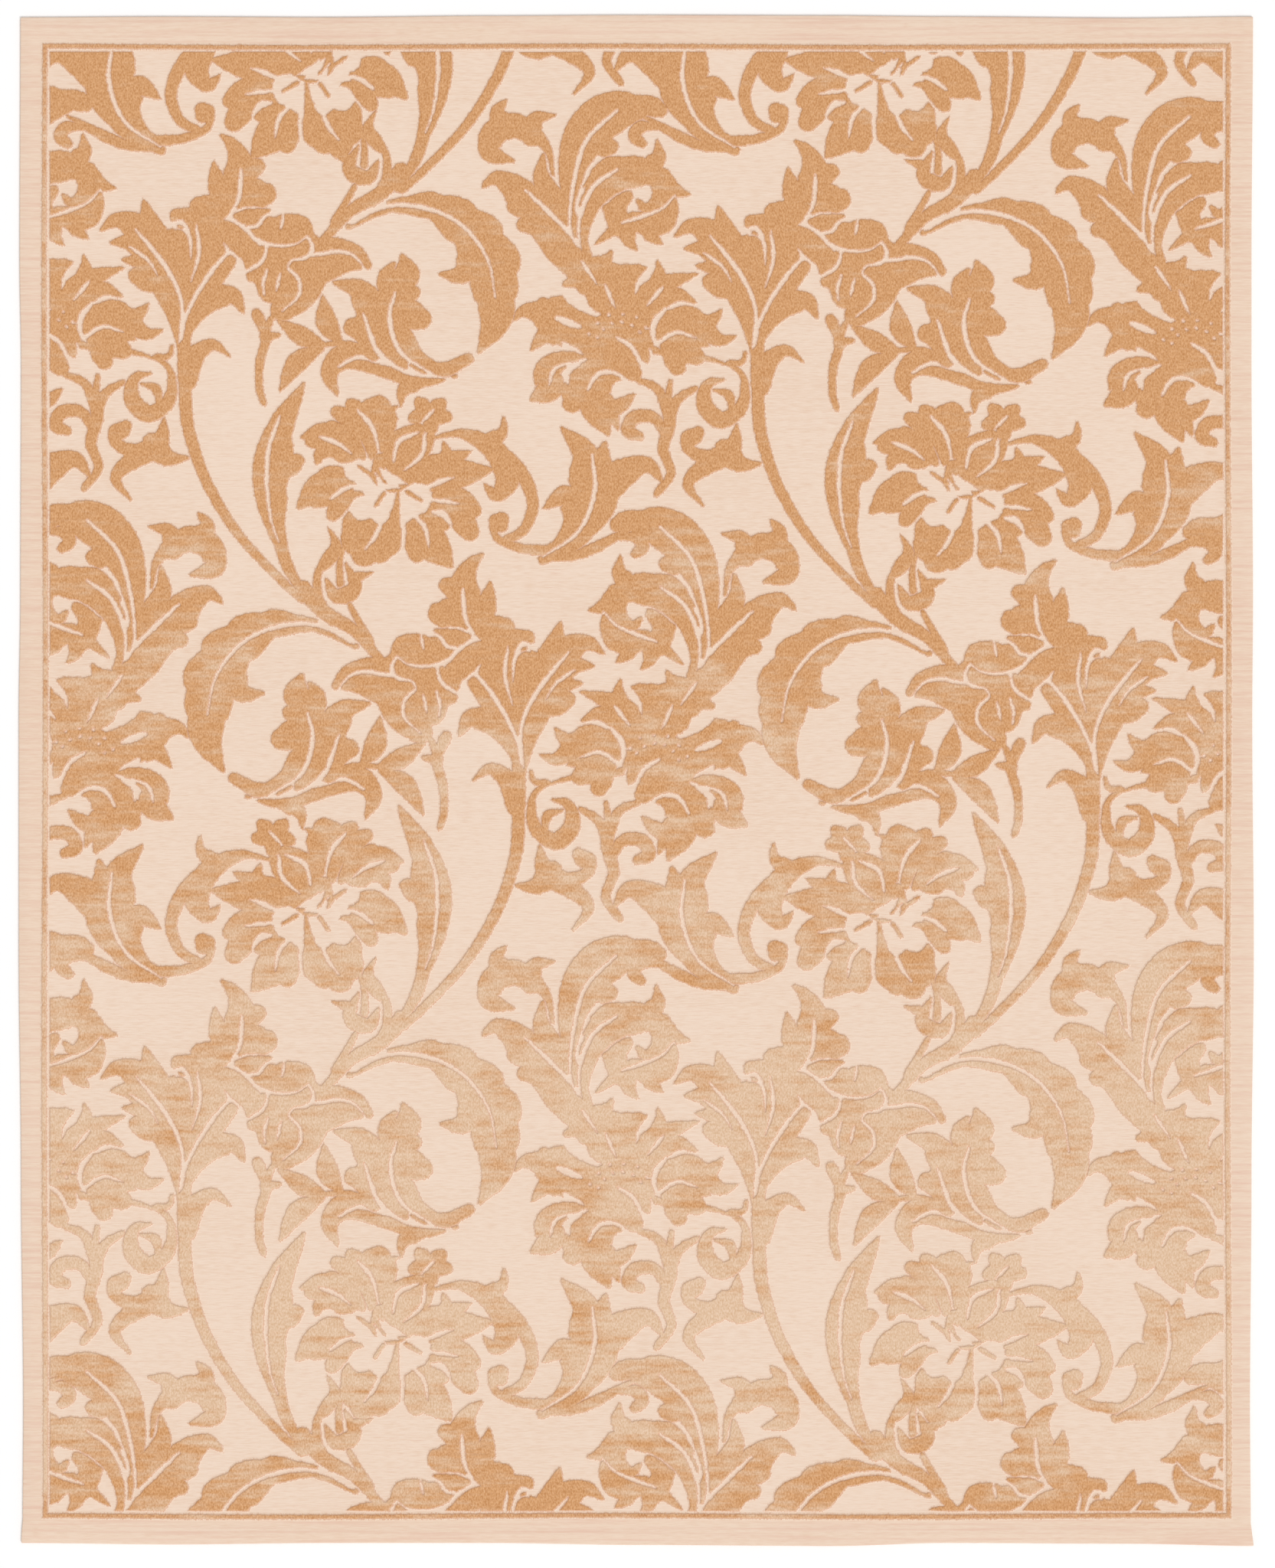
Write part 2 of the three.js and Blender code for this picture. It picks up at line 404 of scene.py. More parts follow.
crown.cut([(76, 100), (88, 92), (91, 84), (90, 77)], 2.8)
crown.cut([(92, 98), (89, 108), (90, 118)], 2.4)
crown.cut([(102, 101), (99, 115)], 2.4)
crown.pile("stem", [(84, 132), (91, 148), (86, 170), (86, 190), (89, 200)], 8)
crown.pile("stem", [(91, 144), (98, 130)], 6)
crown.pile("stem", [(90, 149), (101, 148)], 7)

# poppy

poppy = Motif(122, 70)
poppy.pile("petal", [(86, 58), (76, 36), (64, 22)], 38)
poppy.pile("stem", [(76, 44), (61, 25), (47, 6)], 19)
poppy.pile("blade", [(60, 34), (50, 27), (36, 31)], 15)
poppy.pile("blade", [(64, 36), (68, 45), (77, 48)], 18)
poppy.pile("blade", [(70, 28), (69, 14), (75, 4)], 17)
poppy.pile("blade", [(78, 30), (90, 21), (106, 19)], 20, left=2, depth=0.2)
poppy.pile("blade", [(88, 56), (102, 40), (116, 29), (140, 21)], 23)
poppy.pile("blade", [(108, 32), (111, 22), (109, 11)], 12)
poppy.pile("blade", [(96, 54), (112, 40), (126, 37), (139, 43)], 20)
poppy.cut([(107, 16), (97, 26), (93, 37)], 4.4)
poppy.cut([(114, 31), (102, 46)], 2.6)
poppy.cut([(70, 30), (78, 48)], 2.6)
poppy.cut([(52, 12), (64, 30)], 2.4)
poppy.pile("leaf", [(62, 66), (46, 50), (30, 46), (18, 50)], 20)
poppy.pile("petal", [(28, 52), (23, 44)], 13)
poppy.pile("petal", [(42, 52), (40, 42)], 14)
poppy.pile("blade", [(32, 54), (16, 50), (8, 50), (1, 57)], 18)
poppy.pile("petal", [(64, 76), (44, 69), (24, 58)], 20)
poppy.pile("blade", [(40, 68), (26, 68), (14, 80)], 17, left=2, depth=0.2)
poppy.cut([(33, 55), (56, 64)], 4.8)
poppy.pile("plume", [(60, 84), (40, 86), (27, 96), (28, 108), (13, 118)], 22, left=2, depth=0.15)
poppy.pile("petal", [(60, 90), (52, 104), (45, 120)], 24, right=2, depth=0.15)
poppy.cut([(38, 74), (54, 83)], 3.4)
poppy.cut([(28, 106), (32, 94), (44, 89)], 2.6)
poppy.cut([(50, 91), (42, 96), (42, 106)], 4.4)
poppy.pile("petal", [(64, 88), (62, 62)], 26)
poppy.pile("petal", [(64, 60), (102, 59)], 24)
poppy.pile("petal", [(64, 70), (90, 94)], 26)
poppy.pile("leaf", [(66, 72), (94, 66), (106, 92)], 30, left=1)
poppy.cut([(79, 70), (92, 79), (99, 96)])
for row, degrees in enumerate((200, 225, 250, 275, 300, 325)):
    turn = math.radians(degrees)
    for distance in (18, 25 - row % 2):
        x, y = 82 + distance * math.cos(turn), 76 + distance * math.sin(turn)
        poppy.cut([(x - 1, y), (x + 1, y + 1)], 3.0)
poppy.pile("leaf", [(88, 106), (68, 104), (63, 122), (73, 145)], 30, left=1, right=2, depth=0.15)
poppy.pile("blade", [(68, 122), (82, 121), (93, 113)], 16)
poppy.pile("blade", [(68, 124), (75, 130), (80, 140)], 13)
poppy.cut([(57, 110), (65, 98), (77, 97), (90, 105)])
poppy.pile("leaf", [(108, 71), (118, 58), (134, 56), (148, 58), (159, 48)], 21, left=3, depth=0.15)
poppy.pile("blade", [(132, 60), (148, 66), (158, 71), (170, 68)], 18)
poppy.pile("leaf", [(102, 77), (122, 76), (136, 72), (149, 75)], 19)
poppy.pile("petal", [(121, 74), (125, 92)], 18)
poppy.pile("petal", [(126, 76), (140, 84)], 17)
poppy.pile("stem", [(142, 84), (158, 88)], 4)
poppy.cut([(108, 76), (124, 66), (140, 70)])
poppy.cut([(36, 32), (48, 44), (64, 54)], 6.4)
poppy.cut([(116, 48), (108, 58), (107, 70), (112, 78)], 4.2)
poppy.cut([(92, 105), (80, 108), (78, 114)], 8, "petal")
poppy.cut([(102, 96), (106, 86), (104, 78)], 3)

# small scrolls between the poppy and the stem

trefoil.pile("stem", [(111, 50), (104, 34), (89, 27)], 8)
trefoil.pile("stem", [(111, 46), (114, 28)], 6)
trefoil.pile("stem", [(114, 52), (120, 41), (133, 33)], 8)
trefoil.pile("stem", [(112, 45), (113, 60), (108, 80), (114, 98), (103, 114)], 10)
trefoil.pile("petal", [(111, 72), (101, 56), (86, 56), (81, 66), (90, 70)], 10)
trefoil.pile("plume", [(150, 12), (168, 22), (168, 46), (152, 57), (140, 46), (142, 30), (155, 26)], 13)
trefoil.pile("stem", [(158, 14), (168, 13), (171, 5)], 5)
trefoil.pile("spear", [(160, 52), (158, 38), (146, 34)], 7)
trefoil.pile("blade", [(156, 84), (162, 74), (164, 60)], 14)
trefoil.pile("stem", [(160, 80), (142, 85), (128, 80), (125, 70), (134, 66)], 12)
trefoil.pile("petal", [(126, 76), (135, 66)], 12)
trefoil.pile("blade", [(154, 78), (166, 90), (183, 90)], 17)
trefoil.pile("blade", [(162, 82), (140, 92), (127, 106), (139, 123)], 15)


# the figure's outlines, from its strokes

batch = 400                    # points that are tried at once
nearness = 1e-5                # points closer than this are one
tiny = 1e-9                    # keeps a division from meeting nought


def insideLoops(points, starts, ends):
    inside = np.zeros(len(points), bool)
    lowest, highest = np.minimum(starts[:, 1], ends[:, 1]), np.maximum(starts[:, 1], ends[:, 1])
    order = np.argsort(points[:, 1])
    for rows in np.array_split(order, max(1, len(order) // batch)):
        x, y = points[rows, 0][:, None], points[rows, 1][:, None]
        near = (lowest <= y.max()) & (highest > y.min())
        (x0, y0), (x1, y1) = starts[near].T, ends[near].T
        left = (x1 - x0) * (y - y0) - (x - x0) * (y1 - y0)
        up = (y0 <= y) & (y1 > y) & (left > 0)
        down = (y0 > y) & (y1 <= y) & (left < 0)
        inside[rows] = up.sum(axis=1) != down.sum(axis=1)
    return inside


def triangulate(points, polygons=(), sides=()):
    result = delaunay_2d_cdt([Vector(p) for p in points], list(sides), list(polygons), 0, nearness)
    return np.array([tuple(v) for v in result[0]]), np.array(result[2])


def rimEdges(triangles):
    sides = {(a, b) for t in triangles.tolist() for a, b in zip(t, t[1:] + t[:1])}
    return [(a, b) for a, b in sides if (b, a) not in sides]


def rimLoops(points, triangles):
    following = {}
    for a, b in rimEdges(triangles):
        following.setdefault(a, []).append(b)
    loops = []
    while following:
        start = next(iter(sorted(following)))
        loop = [start]
        at = following[start].pop()
        if not following[start]:
            del following[start]
        while at != start:
            loop.append(at)
            ahead = following[at]
            onward = ahead.pop()
            if not ahead:
                del following[at]
            at = onward
        loops.append(points[loop])
    return loops


def loopArea(loop):
    x, y = loop.T
    return 0.5 * np.sum(x * np.roll(y, -1) - np.roll(x, -1) * y)


def evenLoop(loop, step):
    lengths = np.linalg.norm(np.roll(loop, -1, axis=0) - loop, axis=1)
    reach = np.concatenate([[0], np.cumsum(lengths)])
    count = max(6, round(reach[-1] / step))
    places = np.linspace(0, reach[-1], count, endpoint=False)
    closed = np.vstack([loop, loop[:1]])
    return np.column_stack([np.interp(places, reach, closed[:, i]) for i in range(2)])


def clippedLoop(loop, step, fuzz, dice):
    loop = evenLoop(loop, step)
    loop = 0.5 * loop + 0.25 * (np.roll(loop, 1, axis=0) + np.roll(loop, -1, axis=0))    # rounded a little
    along = np.roll(loop, -1, axis=0) - np.roll(loop, 1, axis=0)
    out = np.column_stack([along[:, 1], -along[:, 0]])
    out /= np.maximum(np.linalg.norm(out, axis=1), tiny)[:, None]
    wander = dice.normal(0, fuzz, len(loop))
    wander = 0.6 * wander + 0.4 * np.roll(wander, 1)
    return loop + out * wander[:, None]


def drawFigure():
    points = np.vstack([outline for _, outline in strokes])
    firsts = np.cumsum([0] + [len(outline) for _, outline in strokes])
    polygons = [list(range(a, b)) for a, b in zip(firsts, firsts[1:])]
    points, triangles = triangulate(points, polygons)
    centres = points[triangles].mean(axis=1)
    pile = np.zeros(len(triangles), bool)
    for layer, outline in strokes:
        near = np.all((centres > outline.min(axis=0)) & (centres < outline.max(axis=0)), axis=1)
        near = np.flatnonzero(near)
        pile[near[insideLoops(centres[near], outline, np.roll(outline, -1, axis=0))]] = layer == "pile"
    dice = np.random.default_rng(brush["seed"])
    loops = [loop for loop in rimLoops(points, triangles[pile]) if abs(loopArea(loop)) > brush["smallest"]]
    return [clippedLoop(loop, brush["step"], brush["fuzz"], dice) for loop in loops]


# the pile, from its outline seen from above

pileEdge = (                   # outwards from the tips' outline, and up from the pile's foot to its tips
    (0.0, 1.0),
    (0.0008, 0.9),
    (0.0024, 0.35),
    (0.0050, 0.14),
    (0.0058, 0.0),
)
sharpest = 1.4                 # a sharp corner leans out at most this many times as far as a straight edge


# two parts of the pile that touch at one point each get a corner of their own there

def splitCorner(points, triangles, corner):
    around = np.flatnonzero((triangles == corner).any(axis=1))
    fan = [around[0]]
    reached = set(triangles[around[0]].tolist()) - {corner}
    for _ in around:
        for number in around:
            others = set(triangles[number].tolist()) - {corner}
            if number not in fan and others & reached:
                fan.append(number)
                reached |= others
    triangles[fan] = np.where(triangles[fan] == corner, len(points), triangles[fan])
    return np.vstack([points, points[corner]])


def ownCorners(points, triangles):
    roots, counts = np.unique(np.array(rimEdges(triangles))[:, 0], return_counts=True)
    for corner, count in zip(roots, counts):
        for _ in range(count - 1):
            points = splitCorner(points, triangles, corner)
    used, triangles = np.unique(triangles, return_inverse=True)
    return points[used], triangles.reshape(-1, 3)


def fillLoops(loops, window=None):
    points = np.vstack(loops)
    starts = points
    ends = np.vstack([np.roll(loop, -1, axis=0) for loop in loops])
    firsts = np.cumsum([0] + [len(loop) for loop in loops])
    sides = [(i, b - 1 if i == a else i - 1) for a, b in zip(firsts, firsts[1:]) for i in range(a, b)]
    if window:
        (left, lower), (right, upper) = window
        sides += [(len(points) + i, len(points) + (i + 1) % 4) for i in range(4)]
        points = np.vstack([points, [(left, lower), (right, lower), (right, upper), (left, upper)]])
    points, triangles = triangulate(points, sides=sides)
    centres = points[triangles].mean(axis=1)
    inside = insideLoops(centres, starts, ends)
    if window:
        inside &= np.all((centres > window[0]) & (centres < window[1]), axis=1)
    return ownCorners(points, triangles[inside])


def pileMesh(name, points, triangles, foot, top):
    rim = np.array(rimEdges(triangles))
    along = points[rim[:, 1]] - points[rim[:, 0]]
    out = np.column_stack([along[:, 1], -along[:, 0]])
    out /= np.maximum(np.linalg.norm(out, axis=1), tiny)[:, None]
    lean = np.zeros_like(points)
    np.add.at(lean, rim[:, 0], out)
    np.add.at(lean, rim[:, 1], out)
    size = np.maximum(np.linalg.norm(lean, axis=1), tiny)
    lean *= np.minimum(2 / size ** 2, sharpest / size)[:, None]
    onRim = np.unique(rim)
    place = np.full(len(points), -1)
    place[onRim] = np.arange(len(onRim))
    levels = []
    for outwards, share in pileEdge[:-1]:
        level = points[onRim] + lean[onRim] * outwards
        levels.append(np.column_stack([level, np.full(len(level), foot + (top - foot) * share)]))
    upper = np.column_stack([points, np.full(len(points), top)])
    under = np.column_stack([points + lean * pileEdge[-1][0], np.full(len(points), foot)])
    vertices = np.vstack([upper, *levels[1:], under])
    rings = [onRim] + [len(points) + i * len(onRim) + np.arange(len(onRim)) for i in range(len(levels) - 1)]
    rings.append(len(vertices) - len(points) + onRim)
    a, b = place[rim[:, 0]], place[rim[:, 1]]
    neighbours = zip(rings, rings[1:])
    walls = [np.column_stack([over[a], below[a], below[b], over[b]]) for over, below in neighbours]
    underside = triangles[:, ::-1] + len(vertices) - len(points)
    faces = triangles.tolist() + underside.tolist() + np.vstack(walls).tolist()
    mesh = bpy.data.meshes.new(name)
    mesh.from_pydata(vertices.tolist(), [], faces)
    mesh.validate()
    return mesh


# small helpers for the scene

def newObject(name, mesh):
    piece = bpy.data.objects.new(name, mesh)
    bpy.context.scene.collection.objects.link(piece)
    return piece


def selectOnly(*pieces):
    bpy.ops.object.select_all(action="DESELECT")
    for piece in pieces:
        piece.select_set(True)
    bpy.context.view_layer.objects.active = pieces[0]


# the wavy outline of the cloth

edges = {                      # how far each edge stands out (+) or in (-), in millimetres
    "sides": (                 # share of the way up, left edge, right edge
        (0, -1.5, 3), (0.006, -2, 0.5), (0.012, -4.5, -3), (0.09, -6, -4.5), (0.24, -1.5, -1.5),
        (0.39, 3, 3), (0.54, 3, 0), (0.62, 0, 1.5), (0.77, -1.5, -1.5), (0.84, 1.5, -1.5), (1, 0, 1.5)),
    "ends": (                  # share of the way across, upper edge, lower edge
        (0, -1.5, -3), (0.12, 0, 0), (0.25, -1.5, -3), (0.38, 1.5, -3), (0.5, 3, 1), (0.66, 2, 3),
        (0.75, 0, -3), (0.9, -3, -1.5), (1, 0, 3)),
    "rounding": 0.0022,        # radius and segments of the turned edge
    "segments": 3,
    "turned": math.radians(60),   # edges sharper than this are rounded
    "smooth": math.radians(50),   # and edges blunter than this are shaded smooth
    "flatRim": 0.02,           # this share of the cloth, along its edges, lies flat
    "steps": (108, 134),
    "swell": 0.00015,          # how unevenly the cloth lies; its face stays above the pile's foot
}


def waveAt(table, column, share):
    rows = np.array(table)
    row = np.clip(np.searchsorted(rows[:, 0], share) - 1, 0, len(rows) - 2)
    t = (share - rows[row, 0]) / (rows[row + 1, 0] - rows[row, 0])
    t = t * t * (3 - 2 * t)
    return (rows[row, column] * (1 - t) + rows[row + 1, column] * t) / 1000


def onCloth(across, up):
    left = -cloth["width"] / 2 - waveAt(edges["sides"], 1, up)
    right = cloth["width"] / 2 + waveAt(edges["sides"], 2, up)
    upper = cloth["length"] / 2 + waveAt(edges["ends"], 1, across)
    lower = -cloth["length"] / 2 - waveAt(edges["ends"], 2, across)
    return left + (right - left) * across, lower + (upper - lower) * up


def swellAt(x, y):             # long low waves, between -2 and 2
    broad = np.sin(5.1 * x + 1.3) * np.sin(3.7 * y)
    return broad + 0.6 * np.sin(11 * y + 2.4 * x) + 0.4 * np.sin(17 * x - 4 * y)


def makeGround():
    columns, rows = edges["steps"]
    bpy.ops.mesh.primitive_grid_add(x_subdivisions=columns, y_subdivisions=rows, size=1)
    ground = bpy.context.object
    ground.name = "ground_cloth"
    places = np.zeros(len(ground.data.vertices) * 3)
    ground.data.vertices.foreach_get("co", places)
    places = places.reshape(-1, 3)
    across, up = places[:, 0] + 0.5, places[:, 1] + 0.5
    x, y = onCloth(across, up)
    rim = np.minimum(np.minimum(across, 1 - across), np.minimum(up, 1 - up))
    sunk = edges["swell"] * (1 - swellAt(x, y) / 2) * np.clip(rim / edges["flatRim"], 0, 1)
    height = cloth["groundThickness"] - sunk
    ground.data.vertices.foreach_set("co", np.column_stack([x, y, height]).ravel())
    selectOnly(ground)
    bpy.ops.object.mode_set(mode="EDIT")
    bpy.ops.mesh.select_all(action="SELECT")
    bpy.ops.mesh.extrude_region_move(TRANSFORM_OT_translate={"value": (0, 0, -cloth["groundThickness"])})
    bpy.ops.transform.resize(value=(1, 1, 0), center_override=(0, 0, 0))
    bpy.ops.mesh.select_all(action="SELECT")
    bpy.ops.mesh.normals_make_consistent(inside=False)
    bpy.ops.object.mode_set(mode="OBJECT")
    bevel = ground.modifiers.new("turned edge", "BEVEL")
    bevel.width = edges["rounding"]
    bevel.segments = edges["segments"]
    bevel.angle_limit = edges["turned"]
    bpy.ops.object.modifier_apply(modifier=bevel.name)
    bpy.ops.object.shade_smooth_by_angle(angle=edges["smooth"])
    return ground


# the raised line that frames the field

def lineRectangle(inset, wander, dice):
    left = -cloth["width"] / 2 + cloth["sideBand"] + inset
    right = -left
    lower = -cloth["length"] / 2 + cloth["lowerBand"] + inset
    upper = cloth["length"] / 2 - cloth["upperBand"] - inset
    corners = [(left, lower), (right, lower), (right, upper), (left, upper)]
    points = []
    for (x0, y0), (x1, y1) in zip(corners, corners[1:] + corners[:1]):
        count = round(math.dist((x0, y0), (x1, y1)) / border["step"])
        for share in np.arange(count) / count:
            points.append((x0 + (x1 - x0) * share, y0 + (y1 - y0) * share))
    points = np.array(points)
    x, y = points.T
    waves = np.column_stack([np.sin(4.1 * y + 0.7), np.sin(5.3 * x + 2.1)])
    return points + waves * border["sway"] + dice.normal(0, wander, points.shape)


border = {
    "step": 0.006,             # from one point of its edge to the next
    "sway": 0.0015,            # how far it bends from the straight
    "fuzz": 0.0004,            # how uneven the shears leave its edge
    "shrink": 0.0018,          # its tips stand this far inside its width, to either side
    "lower": 0.0003,           # its tips are this much lower than the figure's
}


def makeLine():
    dice = np.random.default_rng(brush["seed"] + 1)
    outer = lineRectangle(border["shrink"], border["fuzz"], dice)
    inner = lineRectangle(cloth["lineWidth"] - border["shrink"], border["fuzz"], dice)[::-1]
    points, triangles = fillLoops([outer, inner])
    top = cloth["pileHeight"] - border["lower"]
    mesh = pileMesh("border_line", points, triangles, cloth["pileFoot"], top)
    return newObject("border_line", mesh)


# the figure's drops: every second one is turned over, left for right

drops = {
    "across": 1.1355,          # from one repeat to the next
    "firstLeft": -0.5625,      # the chart's left edge in an unturned drop
    "firstTurned": -0.564,
    "slant": 0.01015,          # how far the chart itself slants down to the right
    "middle": 217.5,           # the chart's middle, in squares
    "columns": 3,
    "rows": (                  # upper edge, how far a drop is stretched, its slant, turned over or not
        {"top": 2.0572, "stretch": 1.0, "slant": 0.0, "turned": True},
        {"top": 1.2424, "stretch": 1.0, "slant": 0.01015, "turned": False},
        {"top": 0.4154, "stretch": 1.022, "slant": 0.0120, "turned": True},
        {"top": -0.4336, "stretch": 1.017, "slant": 0.0084, "turned": False},
        {"top": -1.2606, "stretch": 1.0, "slant": 0.0060, "turned": True},
    ),
    "step": 0.00006,           # every second row is this much lower, so that no two faces coincide
    "sway": 0.0012,            # how far the figure is pulled out of true
}


def fieldEdges():
    inset = cloth["lineWidth"] + cloth["lineToField"]
    side = cloth["width"] / 2 - cloth["sideBand"] - inset
    lower = -cloth["length"] / 2 + cloth["lowerBand"] + inset
    upper = cloth["length"] / 2 - cloth["upperBand"] - inset
    return side, lower, upper


def placeDrop(loop, row, column):
    knot = brush["knot"]
    u, v = (loop * knot).T
    v = v - drops["slant"] * (u - drops["middle"] * knot)
    if row["turned"]:
        x = drops["firstTurned"] - u + drops["across"] * column
    else:
        x = drops["firstLeft"] + u + drops["across"] * (column - 1)
    y = row["top"] - row["stretch"] * v - row["slant"] * x
    sway = drops["sway"]       # slow waves, so that no two drops are quite alike
    x = x + sway * np.sin(6.1 * y + 1.9 * x) + 0.5 * sway * np.sin(15 * y + 4)
    y = y + sway * np.sin(5.3 * x + 2.3 * y + 1) + 0.5 * sway * np.sin(13 * x + 2)
    return np.column_stack([x, y])


def makeFigure():
    drop = drawFigure()
    print("one drop of the figure:", sum(len(loop) for loop in drop), "points round its pile")
    side, lower, upper = fieldEdges()
    field = ((-side, lower), (side, upper))
    pieces = []
    for number, row in enumerate(drops["rows"]):
        loops = [placeDrop(loop, row, column) for column in range(drops["columns"]) for loop in drop]
        points, triangles = fillLoops(loops, field)
        top = cloth["pileHeight"] - drops["step"] * (number % 2)
        name = f"figure_{number + 1}"
        pieces.append(newObject(name, pileMesh(name, points, triangles, cloth["pileFoot"], top)))
        print(name, len(pieces[-1].data.vertices), "points")
    return pieces


# shader maths on sockets

class Wire:
    def __init__(self, tree, socket):
        self.tree = tree
        self.socket = socket

    def node(self, kind, settings=None, values=None, output=0):
        node = self.tree.nodes.new(kind)
        for name, setting in (settings or {}).items():
            if name == "stops":
                fillRamp(node.color_ramp, setting)
            else:
                setattr(node, name, setting)
        for name, value in (values or {}).items():
            if isinstance(value, Wire):
                self.tree.links.new(value.socket, node.inputs[name])
            else:
                node.inputs[name].default_value = value
        return Wire(self.tree, node.outputs[output])

    def math(self, operation, *values, clamp=False):
        settings = {"operation": operation, "use_clamp": clamp}
        return self.node("ShaderNodeMath", settings, dict(enumerate(values)))

    def __add__(self, other):
        return self.math("ADD", self, other)

    def __sub__(self, other):
        return self.math("SUBTRACT", self, other)

    def __mul__(self, other):
        return self.math("MULTIPLY", self, other)

    def __rsub__(self, other):
        return self.math("SUBTRACT", other, self)

    __radd__ = __add__
    __rmul__ = __mul__

    def clamped(self):
        return self.math("ADD", self, 0.0, clamp=True)

    def absolute(self):
        return self.math("ABSOLUTE", self)

    def larger(self, other):
        return self.math("MAXIMUM", self, other)

    def between(self, low, high):
        settings = {"interpolation_type": "SMOOTHSTEP"}
        return self.node("ShaderNodeMapRange", settings, {"Value": self, "From Min": low, "From Max": high})

    def noise(self, across, up, detail, seed):
        flat = self.node("ShaderNodeVectorMath", {"operation": "MULTIPLY"}, {0: self, 1: (across, up, 0)})
        moved = self.node("ShaderNodeVectorMath", {"operation": "ADD"}, {0: flat, 1: (0, 0, seed)})
        values = {"Vector": moved, "Scale": 1.0, "Detail": detail, "Roughness": 0.55}
        return self.node("ShaderNodeTexNoise", {}, values)

    def uneven(self, across, up, detail, seed, swing):
        return (self.noise(across, up, detail, seed) - 0.5) * swing

    def blend(self, under, over):
        values = {"Factor": self, 6: under, 7: over}      # sockets 6 and 7 are a colour mix's A and B
        return self.node("ShaderNodeMix", {"data_type": "RGBA"}, values, output=2)

    def axis(self, name):
        outputs = {"x": 0, "y": 1, "z": 2}
        return self.node("ShaderNodeSeparateXYZ", {}, {0: self}, output=outputs[name])


def fillRamp(ramp, stops):
    ramp.interpolation = "EASE"
    while len(ramp.elements) < len(stops):
        ramp.elements.new(0.5)
    for element, (place, value) in zip(ramp.elements, stops):
        element.position = place
        element.color = (value, value, value, 1)


def dye(red, green, blue):     # a colour as screens show it, turned into light
    parts = [part / 255 for part in (red, green, blue)]
    return (*[part / 12.92 if part < 0.04045 else ((part + 0.055) / 1.055) ** 2.4 for part in parts], 1)


def newMaterial(name):
    material = bpy.data.materials.new(name)
    material.use_nodes = True
    tree = material.node_tree
    shader = tree.nodes["Principled BSDF"]
    coordinates = tree.nodes.new("ShaderNodeTexCoord")
    return material, shader, Wire(tree, coordinates.outputs["Object"])


def connect(wire, shader, name):
    wire.tree.links.new(wire.socket, shader.inputs[name])


# the flat woven ground

groundLook = {
    "field": (239, 216, 197),
    "band": (237, 213, 192),
    "shade": (228, 197, 172),
    "thread": (226, 186, 166),
    "bandEdge": 0.02,          # the field's colour turns into the band's over this width
    # noises: how often they change in a metre, across and up, their detail and their seed
    "rows": (40, 420, 3, 0),
    "broadRows": (4, 110, 3, 4),
    "clouds": (2.2, 3.1, 3, 9),
    "threads": (22, 650, 1, 2),
    "bandStreaks": (4, 140, 3, 12),
    "ribs": (60, 700, 2, 7),
    "shading": (2.2, 0.7, 0.7, 0.2),   # how much rows, broad rows, clouds and nothing at all shade it
    "threadCrests": (0.66, 0.74),      # only the crests of these two noises show
    "streakCrests": (0.42, 0.75),
    "threadShare": 0.6,
    "rowHeight": 0.6,
    "roughness": 0.95,
    "specular": 0.15,
    "bump": {"Strength": 0.5, "Distance": 0.0006},
}


def groundMaterial():
    material, shader, place = newMaterial("ground wool")
    rows = place.noise(*groundLook["rows"])
    broadRows = place.noise(*groundLook["broadRows"])
    clouds = place.noise(*groundLook["clouds"])
    threads = place.noise(*groundLook["threads"]).between(*groundLook["threadCrests"])
    bandStreaks = place.noise(*groundLook["bandStreaks"]).between(*groundLook["streakCrests"])
    x, y = place.axis("x"), place.axis("y")
    side, lower, upper = fieldEdges()
    soft = groundLook["bandEdge"]
    outside = x.absolute().between(side, side + soft).larger(y.between(upper, upper + soft))
    outside = outside.larger(1 - y.between(lower - soft, lower))
    colour = outside.blend(dye(*groundLook["field"]), dye(*groundLook["band"]))
    byRow, byBroadRow, byCloud, allOver = groundLook["shading"]
    shade = (rows - 0.5) * byRow + (broadRows - 0.5) * byBroadRow + (clouds - 0.5) * byCloud + allOver
    colour = shade.clamped().blend(colour, dye(*groundLook["shade"]))
    colour = (threads * groundLook["threadShare"]).blend(colour, dye(*groundLook["thread"]))
    streaked = bandStreaks * outside * groundLook["threadShare"]
    colour = streaked.blend(colour, dye(*groundLook["thread"]))
    connect(colour, shader, "Base Color")
    height = place.noise(*groundLook["ribs"]) + rows * groundLook["rowHeight"]
    bump = place.node("ShaderNodeBump", {}, {**groundLook["bump"], "Height": height})
    connect(bump, shader, "Normal")
    shader.inputs["Roughness"].default_value = groundLook["roughness"]
    shader.inputs["Specular IOR Level"].default_value = groundLook["specular"]
    return material


# the cut pile

